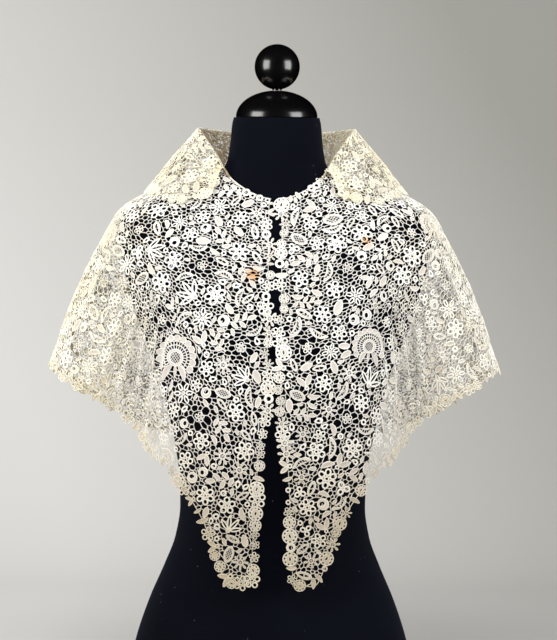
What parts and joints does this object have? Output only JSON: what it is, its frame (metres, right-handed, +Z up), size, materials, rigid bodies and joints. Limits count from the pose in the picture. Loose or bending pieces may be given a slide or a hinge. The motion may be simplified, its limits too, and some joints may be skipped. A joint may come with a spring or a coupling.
{
  "type": "lace pelerine on dress form",
  "caption": "Lace shoulder cape with long front tabs, side wings, a turned-down collar and scalloped edges, on a limbless dress form with a ball finial.",
  "frame": {"origin": "middle of the dress form's flat foot, on the surface that it stands on", "axes": "+Z up, -Y the front of the cape, +X the wearer's left side"},
  "size_m": [0.565, 0.2534, 0.7787],
  "materials": {
    "lace": "ivory cotton lace",
    "form_cloth": "black jersey cover",
    "lacquer": "gloss black lacquer"
  },
  "bodies": {
    "root": {"dress_form": "form_cloth", "neck_cap": "lacquer", "ball_finial": "lacquer", "front_left": "lace", "front_right": "lace", "back": "lace", "collar": "lace"}
  },
  "joints": []
}
